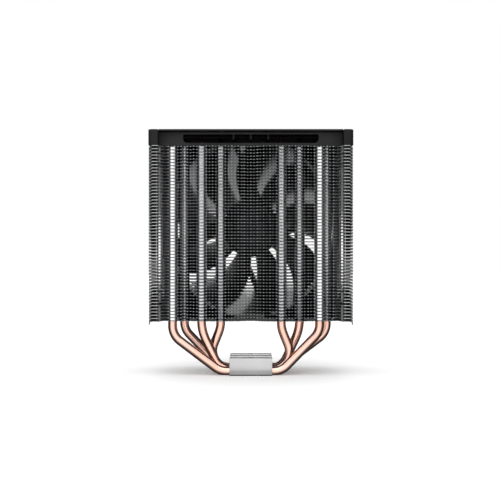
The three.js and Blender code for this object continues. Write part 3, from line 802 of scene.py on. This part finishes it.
def fin_shape():
    """One fin, its top face at height 0. Its edges that run straight across keep the sheet's finish; the
    others are darker as painted shade, except near the sides, where they are painted lighter as painted
    light.
    """
    holes = [circle(x, y, PIPE_HOLE_RADIUS, COLLAR_SIDES) for x, y in pipe_places()]
    verts, faces, walls = sheet([fin_outline(), *holes], -FIN_THICKNESS, 0)
    fin = Build().add((verts, faces))
    for wall in walls:
        start, end = Vector(verts[wall[0]]), Vector(verts[wall[1]])
        if abs(end.y - start.y) < 1e-6:
            slot = FACE
        else:
            # Edges near the sides take a finish painted lighter as painted light; the rest take the
            # sheared finish, darker as painted shade.
            slot = LIT_EDGE if abs(start.x + end.x) / 2 > OUTER_EDGE_X else SHEARED_AND_SHADED
        fin.add(([verts[i] for i in wall], [[0, 1, 2, 3]]), slot)
    for x, y in pipe_places():
        fin.add(collar(x, y), DRAWN)
    for side in (-1, 1):
        for strip in SKIRTS:
            fin.add(*skirt(strip, side))
    return fin


def sheet(loops, low, high):
    """A flat shape with holes: its corners, its two flat sides and the walls of its rims."""
    flat = [[Vector((x, y, 0)) for x, y in loop] for loop in loops]
    triangles = tessellate_polygon(flat)
    points = [p for loop in loops for p in loop]
    count = len(points)
    verts = [(x, y, low) for x, y in points] + [(x, y, high) for x, y in points]
    faces = [list(t) for t in triangles] + [[i + count for i in t] for t in triangles]
    walls = []
    first = 0
    for loop in loops:
        size = len(loop)
        for j in range(size):
            a, b = first + j, first + (j + 1) % size
            walls.append([a, b, b + count, a + count])
        first += size
    return verts, faces, walls


def hanging_tab(side):
    """The longer fold at each side of the lowest fin."""
    ends = [(FIN_HALF_WIDTH, -FIN_CHAMFER_Y), (FIN_HALF_WIDTH, -5.0)]
    return skirt([(end, HANGING_DROP) for end in ends], side)


def fins():
    fin = fin_shape()
    finishes = [MATERIALS[key] for key in FIN_FINISHES]
    for i, (_, hi) in enumerate(PACKS, start=1):
        pack = Build()
        for k in range(FINS_PER_PACK):
            top = hi.z - k * FIN_PITCH
            pack.add(([(x, y, z + top) for x, y, z in fin.verts], fin.faces), fin.slots)
        if i == 1:
            lowest = Matrix.Translation((0, 0, hi.z - (FINS_PER_PACK - 1) * FIN_PITCH))
            for side in (-1, 1):
                tab, slots = hanging_tab(side)
                pack.add(moved(tab, lowest), slots)
        piece = pack.piece(f"fins_{i:02d}", finishes, smooth=35)
        settle(piece, "cooler", [f"fin_pack_{i:02d}"])


# ------------------------------------------------------------------ cover

COVER_WALL = 1.8
MIDDLE = {"half_width": 60.2, "half_depth": 17.2, "wall": 1.0, "top": PLATE_LO.z - 0.15}
SLOT = {"half": 44.3, "top": 157.9, "bottom": 152.35, "upper_round": 0.5, "lower_round": 2.6}
RIB_PLACES = (-11.4, 0.0, 11.4)
# A rib reaches down to low at its ends and is cut away to high between, over a slope this long.
RIB = {"low": 154.6, "high": 156.2, "slope": 2.2, "half": 0.6}
CAP_ROOF = 158.8  # underside of an end cap's top
# The second slot holds the black plastic painted darker as painted shade.
SHELL, CAP = 0, 1  # the cover's material slots


def cap_outline(side, inset):
    """The plan outline of one end cap, set in, with large outer corners."""
    x0 = MIDDLE["half_width"] + inset
    x1 = COVER_HI.x - inset
    y1 = COVER_HI.y - inset
    big = 3.4 - min(inset, 2.4)
    small = 0.5
    points = []
    for cx, cy, r, start in ((x1 - big, y1 - big, big, 0), (x0 + small, y1 - small, small, 90),
                             (x0 + small, -y1 + small, small, 180), (x1 - big, -y1 + big, big, 270)):
        for k in range(9):
            a = math.radians(start + 90 * k / 8)
            points.append((side * (cx + r * math.cos(a)), cy + r * math.sin(a)))
    return points


def end_cap(side):
    """A hollow cap whose top rim is rounded over."""
    bottom, top = COVER_LO.z, COVER_HI.z
    levels = [(COVER_WALL, CAP_ROOF), (COVER_WALL, bottom + 0.15), (COVER_WALL - 0.15, bottom),
              (0.2, bottom), (0.0, bottom + 0.2), (0.0, top - 0.5), (0.07, top - 0.25),
              (0.25, top - 0.07), (0.5, top)]
    return loft([[(x, y, z) for x, y in cap_outline(side, inset)] for inset, z in levels])


def slot_outline():
    x, top, bottom = SLOT["half"], SLOT["top"], SLOT["bottom"]
    upper, lower = SLOT["upper_round"], SLOT["lower_round"]
    points = [(x, top), (-x, top), (-x, bottom), (x, bottom)]
    return rounded(points, [upper, upper, lower, lower], steps=6)


def cover_middle():
    """The slotted front wall, the plain back wall and the ribs between them."""
    m = MIDDLE
    half, bottom = m["half_width"] + 0.5, COVER_LO.z
    outline = [(half, bottom), (half, m["top"]), (-half, m["top"]), (-half, bottom)]
    middle = Build()
    walls = ((-m["half_depth"], [outline, slot_outline()]), (m["half_depth"] - m["wall"], [outline]))
    for low, loops in walls:
        middle.add(facing_y(plate(loops, low, low + m["wall"], 0.2)), SHELL)
    reach = m["half_depth"] - m["wall"] / 2
    high_reach = reach - RIB["slope"]
    rib_top = m["top"] - 0.3
    for x in RIB_PLACES:
        gusset = [(-reach, rib_top), (-reach, RIB["low"]), (-high_reach, RIB["high"]),
                  (high_reach, RIB["high"]), (reach, RIB["low"]), (reach, rib_top)]
        verts, faces = plate([gusset], x - RIB["half"], x + RIB["half"], 0.15)
        # The ribs inside the slot take the caps' darker tone as painted shade.
        middle.add(([(across, y, z) for y, z, across in verts], faces), CAP)
    return middle


def cover():
    shell = cover_middle()
    for side in (-1, 1):
        shell.add(end_cap(side), CAP)
    piece = shell.piece("cover_shell", [MATERIALS["cover"], MATERIALS["cap"]], smooth=32)
    settle(piece, "cooler", ["cover_frame"])
    outline = rounded(rectangle(PLATE_HI.x, PLATE_HI.y), 0.8)
    top = Build().add(plate([outline], PLATE_LO.z, PLATE_HI.z, 0.3))
    settle(top.piece("cover_top_plate", MATERIALS["top"]), "cooler", ["top_plate"])


# ------------------------------------------------------------------ fan

BORE = 58.2
RING = 59.6
FLANGE = 4.0
SCREW_REACH = 52.5
SCREW_RADIUS = 2.15
MOTOR_RADIUS = 17.8
STRUT_ANGLES = (24.3, 114.3, 204.3, 294.3)
CABLE_STRUT = STRUT_ANGLES[2]
# How far each bar passes from the fan's axis, half its width and its depth.
STRUT = {"offset": 12.6, "half": 2.5, "depth": 3.2}
CHANNEL = {"offset": 7.65, "half": 2.95, "depth": 2.7}
GROOVE = {"half": 1.3, "floor": 26.8}
HUB_RADIUS = 19.3
HUB_FRONT = 29.8
SHAFT_END = 47.4
# Radii and distances in millimetres, spans and angles in degrees.
BLADES = {"count": 9, "tip": 57.0, "root": 18.6, "root_span": 31, "tip_span": 29, "sweep": -20,
          "first": 95.5, "back": 47.4, "front": 31.2, "bow": 1.6, "thickness": 1.3}


def flange_loops():
    """The outline of one flange, its bore and its four screw holes."""
    outline = rounded(rectangle(FAN_HI.x, FAN_HI.x, FAN_Z), 5.5, steps=8)
    reach = SCREW_REACH
    holes = [circle(x, FAN_Z + z, SCREW_RADIUS, 28) for x in (-reach, reach) for z in (-reach, reach)]
    return [outline, circle(0, FAN_Z, BORE + 0.3, 128), *holes]


def along(radius, offset):
    """How far along a bar the given distance from the fan's axis is."""
    return math.sqrt(radius ** 2 - offset ** 2)


def spoke_turn(degrees):
    return Matrix.Translation((0, 0, FAN_Z)) @ Matrix.Rotation(-math.radians(degrees), 4, "Y")


def spoke(degrees, form, waist, grooved):
    """A slim bar with rounded edges from the motor plate out to the ring."""
    offset = form["offset"]
    start, end = along(MOTOR_RADIUS, offset) - 2, along(BORE + 0.8, offset)
    front, steps = FAN_LO.y, 12
    back = front + form["depth"]
    rings = []
    for k in range(steps + 1):
        t = k / steps
        half = form["half"] - waist * (1 - (2 * t - 1) ** 4)
        section = [(-half, front), (half, front), (half, back)]
        if grooved:
            lip, bed = GROOVE["half"], GROOVE["floor"]
            section += [(lip, back), (lip, bed), (-lip, bed), (-lip, back)]
        section = rounded(section + [(-half, back)], 0.25, 3)
        rings.append([(start + (end - start) * t, y, z - offset) for z, y in section])
    return moved(loft(rings), spoke_turn(degrees))


def fan_frame():
    """Two flanges, the ring, the motor plate with its bearing tube, and the struts."""
    front, back = FAN_LO.y, FAN_HI.y
    body = Build()
    for low in (front, back - FLANGE):
        body.add(facing_y(plate(flange_loops(), low, low + FLANGE, 0.45, steps=3)))
    ring = [(BORE, front + 0.4), (BORE + 0.4, front), (RING, front), (RING, back), (BORE + 1.2, back),
            (BORE + 0.7, back - 0.25), (BORE + 0.3, back - 0.9), (BORE, back - 2.2)]
    body.add(lathe(ring, 160))
    motor = [(0.0, front), (MOTOR_RADIUS - 0.5, front), (MOTOR_RADIUS, front + 0.5),
             (MOTOR_RADIUS, front + 1.6), (MOTOR_RADIUS - 0.4, front + 2), (0.0, front + 2)]
    body.add(spindle(motor))
    tube = [(3.2, front + 1.8), (4.2, front + 1.8), (4.2, 40.7), (3.9, 41), (3.4, 41), (3.2, 40.8)]
    body.add(lathe(tube, 48))
    for degrees in STRUT_ANGLES:
        body.add(spoke(degrees, STRUT, waist=0.5, grooved=False))
    body.add(spoke(CABLE_STRUT, CHANNEL, waist=0.0, grooved=True))
    settle(body.piece("fan_housing", MATERIALS["fan"], smooth=35), "cooler", ["fan_frame"])


def spindle(profile, sides=96):
    """Turns a profile that starts and ends on the fan's axis into a solid."""
    (_, y0), *middle, (_, y1) = profile
    verts = [(0, y0, FAN_Z), (0, y1, FAN_Z)]
    faces = []
    count = len(middle)
    for i in range(sides):
        a = 2 * math.pi * i / sides
        verts += [(r * math.cos(a), y, FAN_Z + r * math.sin(a)) for r, y in middle]
    for i in range(sides):
        a = 2 + i * count
        b = 2 + ((i + 1) % sides) * count
        faces.append([0, a, b])
        faces.append([1, b + count - 1, a + count - 1])
        faces += [[a + j, a + j + 1, b + j + 1, b + j] for j in range(count - 1)]
    return verts, faces


def blade_shape(first):
    """One swept blade, thickest at its middle and thin at its rims."""
    b = BLADES
    spans, chords = 14, 12
    rings = []
    for i in range(spans + 1):
        s = i / spans
        radius = b["root"] + (b["tip"] - b["root"]) * s
        span = b["root_span"] + (b["tip_span"] - b["root_span"]) * s
        middle = first + b["sweep"] * s * s
        upper, lower = [], []
        for j in range(chords + 1):
            t = j / chords - 0.5
            y = (b["back"] + b["front"]) / 2 - t * (b["back"] - b["front"]) - b["bow"] * (1 - 4 * t * t)
            half = b["thickness"] / 2 * (0.3 + 0.7 * math.sqrt(max(0.0, 1 - (2 * t) ** 4)))
            a = math.radians(middle + span * t)
            x, z = radius * math.cos(a), FAN_Z + radius * math.sin(a)
            upper.append((x, y + half, z))
            lower.append((x, y - half, z))
        rings.append(upper + lower[::-1])
    return loft(rings)


def impeller():
    """The hub's rounded cup, its boss round the shaft's end, and the blades."""
    b = BLADES
    rotor = Build()
    front, back = HUB_FRONT, HUB_BACK
    cup = [(HUB_RADIUS, front + 0.2), (HUB_RADIUS, back - 2.4), (HUB_RADIUS - 0.35, back - 1.3),
           (HUB_RADIUS - 1.1, back - 0.5), (HUB_RADIUS - 2.3, back - 0.1), (HUB_RADIUS - 3.4, back),
           (6.2, back), (6.0, back - 0.25), (5.4, back - 0.25), (5.2, back)]
    inner = [(5.2, back - 1.6), (HUB_RADIUS - 1.9, back - 1.6), (HUB_RADIUS - 1.6, back - 1.9),
             (HUB_RADIUS - 1.6, front + 0.2), (HUB_RADIUS - 1.4, front), (HUB_RADIUS - 0.2, front)]
    rotor.add(lathe(cup + inner, 128))
    crown = [(0.0, back), (5.4, back), (5.4, back - 1.6), (3.0, back - 1.6), (3.0, 42.3),
             (2.8, 42.0), (1.6, 42.0), (1.6, SHAFT_END), (0.0, SHAFT_END)]
    rotor.add(spindle(crown, 64))
    for i in range(b["count"]):
        rotor.add(blade_shape(b["first"] + 360 / b["count"] * i))
    settle(rotor.piece("fan_impeller", MATERIALS["blade"], smooth=40), "rotor", ["impeller"])


def label():
    lo, hi = mm_box("motor_label")
    radius = (hi.x - lo.x) / 2
    disc = [(0.0, lo.y), (radius - 0.15, lo.y), (radius, lo.y + 0.12), (radius, hi.y), (0.0, hi.y)]
    piece = Build().add(spindle(disc)).piece("motor_foil_label", MATERIALS["label"])
    settle(piece, "cooler", ["motor_label"])


def pads():
    """L-shaped rubber pads that fit the fan's corners."""
    edge, arm, width = 58.5, 15, 5.2
    shapes = {"top_right": (1, 1), "top_left": (-1, 1), "bottom_right": (1, -1), "bottom_left": (-1, -1)}
    for name, (sx, sz) in shapes.items():
        lo, hi = mm_box(f"pad_{name}")
        inner = edge - width + 1.6
        points = [(edge, edge - arm), (edge, edge - 3), (edge - 3, edge), (edge - arm, edge),
                  (edge - arm, inner), (inner, inner), (inner, edge - arm)]
        loop = rounded([(sx * x, FAN_Z + sz * z) for x, z in points], 0.5, 3)
        pad = Build().add(facing_y(plate([loop], lo.y, hi.y, 0.2)))
        piece = pad.piece(f"rubber_pad_{name}", MATERIALS["rubber"])
        settle(piece, "cooler", [f"pad_{name}"])


# ------------------------------------------------------------------ wires and cable

WIRE_RADIUS = 0.9
CABLE = {"radius": 1.1, "groove_y": 28.1, "start_radius": 15.2, "side_x": -61.3, "run_y": 38,
         "end_x": -48.2, "top_rise": 44.5, "end_rise": 49.4, "bend": 3}


def wire_clips():
    """Spring-steel wire, from the fan's corner holes round to the slot in the fins."""
    out = FAN_HI.y + WIRE_RADIUS + 0.2
    reach, beside = SCREW_REACH, 61.4
    upper = [(reach, FAN_HI.y - 2.4, reach), (reach, out, reach), (beside, out, reach),
             (beside, 31, reach), (66.3, 26.6, 45), (66.9, 21.6, 42), (61.2, 20.2, 40)]
    lower = [(x, y, -z) for x, y, z in reversed(upper)]
    for side, name in ((1, "right"), (-1, "left")):
        corners = [((side * x, y, FAN_Z + z), 1.4) for x, y, z in upper + lower]
        path = fillet_path(corners, step=12)
        wire = sweep(path, WIRE_RADIUS, 16, [(0, 0.5), (0.15, 0.85), (0.4, 1)])
        piece = Build().add(wire).piece(f"spring_wire_{name}", MATERIALS["wire"], smooth=50)
        settle(piece, f"{name}_clip", [f"clip_{name}"])


def cable():
    """From the motor board along its channel, up the frame's side and in to the plug."""
    c = CABLE
    offset = CHANNEL["offset"]
    turn = spoke_turn(CABLE_STRUT)
    start = turn @ Vector((along(c["start_radius"], offset), c["groove_y"], -offset))
    way = turn.to_3x3() @ Vector((1, 0, 0))
    exit_point = start + way * (c["side_x"] - start.x) / way.x
    side_x, run_y, end_x = c["side_x"], c["run_y"], c["end_x"]
    top = FAN_Z + c["top_rise"]
    corners = [(start, 0), (exit_point, 1.4), ((side_x, run_y, exit_point.z + 3.5), c["bend"]),
               ((side_x, run_y, top), c["bend"]), ((end_x, run_y, top), c["bend"]),
               ((end_x, run_y, FAN_Z + c["end_rise"]), 0)]
    path = fillet_path(corners, step=10)
    sleeve = sweep(path, c["radius"], 20, [(0, 0.6), (0.2, 0.95), (0.5, 1)])
    piece = Build().add(sleeve).piece("sleeved_cable", MATERIALS["cable"], smooth=50)
    settle(piece, "cooler", ["fan_cable"])


# ------------------------------------------------------------------ whole object

FLOOR_GAP = 0.0002  # metres
CAMERA = {"lens": 80.6, "sensor": 36, "place": (-0.00056, -0.75, 0.0822)}  # mm, mm, metres


def rounded_copies():
    base = from_cad("base_block", "base_milled", MATERIALS["base"], 0.1)
    settle(base, "cooler", ["base_block"])
    plug = from_cad("cable_plug", "four_pin_plug", MATERIALS["fan"], 0.25)
    settle(plug, "cooler", ["cable_plug"])


def finish_inner_nodes():
    """The motor's inner parts keep their CAD shapes and get real finishes."""
    finishes = {
        "bronze": ["bearing_sleeve"],
        "steel": ["stator_core", "rotor_yoke", "fan_shaft", "retaining_ring"],
        "winding": [f"stator_coil_{i}" for i in range(1, 5)],
        "board": ["motor_board"],
        "ferrite": ["magnet_ring"],
    }
    for key, nodes in finishes.items():
        for node in nodes:
            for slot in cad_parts[node].material_slots:
                slot.material = MATERIALS[key]


def lights():
    """One very broad lamp, almost overhead."""
    sun = bpy.data.lights.new("key", "SUN")
    sun.energy = 1.9
    sun.angle = math.radians(110)
    holder = bpy.data.objects.new("key", sun)
    holder.rotation_euler = Vector((-0.12, 0.1, 1)).to_track_quat("Z", "Y").to_euler()
    bpy.context.scene.collection.objects.link(holder)


def studio_world():
    """White to the camera. To everything else it is bright in front, soft above, dim behind."""
    world = bpy.data.worlds.new("studio")
    bpy.context.scene.world = world
    world.use_nodes = True
    tree = world.node_tree
    tree.nodes.clear()
    coordinates = tree.nodes.new("ShaderNodeTexCoord")
    split = tree.nodes.new("ShaderNodeSeparateXYZ")
    tree.links.new(coordinates.outputs["Generated"], split.inputs["Vector"])

    def ramp(axis, start, end, low, high):
        """Runs smoothly from low to high as the direction's part along axis goes start to end."""
        span = tree.nodes.new("ShaderNodeMapRange")
        span.interpolation_type = "SMOOTHSTEP"
        for key, value in zip(("From Min", "From Max", "To Min", "To Max"), (start, end, low, high)):
            span.inputs[key].default_value = value
        tree.links.new(split.outputs[axis], span.inputs["Value"])
        return span.outputs["Result"]

    screen = ramp("Y", -0.97, -0.35, 1.65, 0.0)
    dimmed_low = ramp("Z", -0.5, -0.15, 0.45, 1.0)
    above = ramp("Z", 0.3, 0.9, 0.05, 0.9)
    behind = ramp("Y", 0.86, 0.94, 0.0, 0.34)
    front = maths(tree, "MULTIPLY", screen, dimmed_low)
    total = maths(tree, "ADD", front, maths(tree, "ADD", above, behind))
    shine = tree.nodes.new("ShaderNodeBackground")
    tree.links.new(total, shine.inputs["Strength"])
    white = tree.nodes.new("ShaderNodeBackground")
    white.inputs["Color"].default_value = (1, 1, 1, 1)
    ray = tree.nodes.new("ShaderNodeLightPath")
    mix = tree.nodes.new("ShaderNodeMixShader")
    tree.links.new(ray.outputs["Is Camera Ray"], mix.inputs["Fac"])
    tree.links.new(shine.outputs["Background"], mix.inputs[1])
    tree.links.new(white.outputs["Background"], mix.inputs[2])
    output = tree.nodes.new("ShaderNodeOutputWorld")
    tree.links.new(mix.outputs["Shader"], output.inputs["Surface"])


def floor():
    """A pale matt floor that lifts its own shadow a little and doesn't show in the metal."""
    bpy.ops.mesh.primitive_plane_add(size=6, location=(0, 0, BASE_LO.z * MM - FLOOR_GAP))
    plane = bpy.context.object
    plane.name = "floor"
    n = Nodes("floor_white")
    white = n.set(Base_Color=(0.84, 0.84, 0.84), Roughness=0.9, Specular_IOR_Level=0.1,
                  Emission_Color=(1.0, 1.0, 1.0), Emission_Strength=0.2)
    plane.data.materials.append(white)
    plane.visible_glossy = False


def camera():
    """Level, straight at the front, a little above the middle of the object."""
    lens = bpy.data.cameras.new("camera")
    lens.lens = CAMERA["lens"]
    lens.sensor_width = CAMERA["sensor"]
    lens.clip_start = 0.01
    holder = bpy.data.objects.new("camera", lens)
    holder.location = CAMERA["place"]
    holder.rotation_euler = (math.radians(90), 0, 0)
    bpy.context.scene.collection.objects.link(holder)
    bpy.context.scene.camera = holder


heat_pipes()
fins()
cover()
fan_frame()
impeller()
label()
pads()
wire_clips()
cable()
rounded_copies()
finish_inner_nodes()
studio_world()
lights()
floor()
camera()
bpy.context.scene.view_settings.view_transform = "Standard"
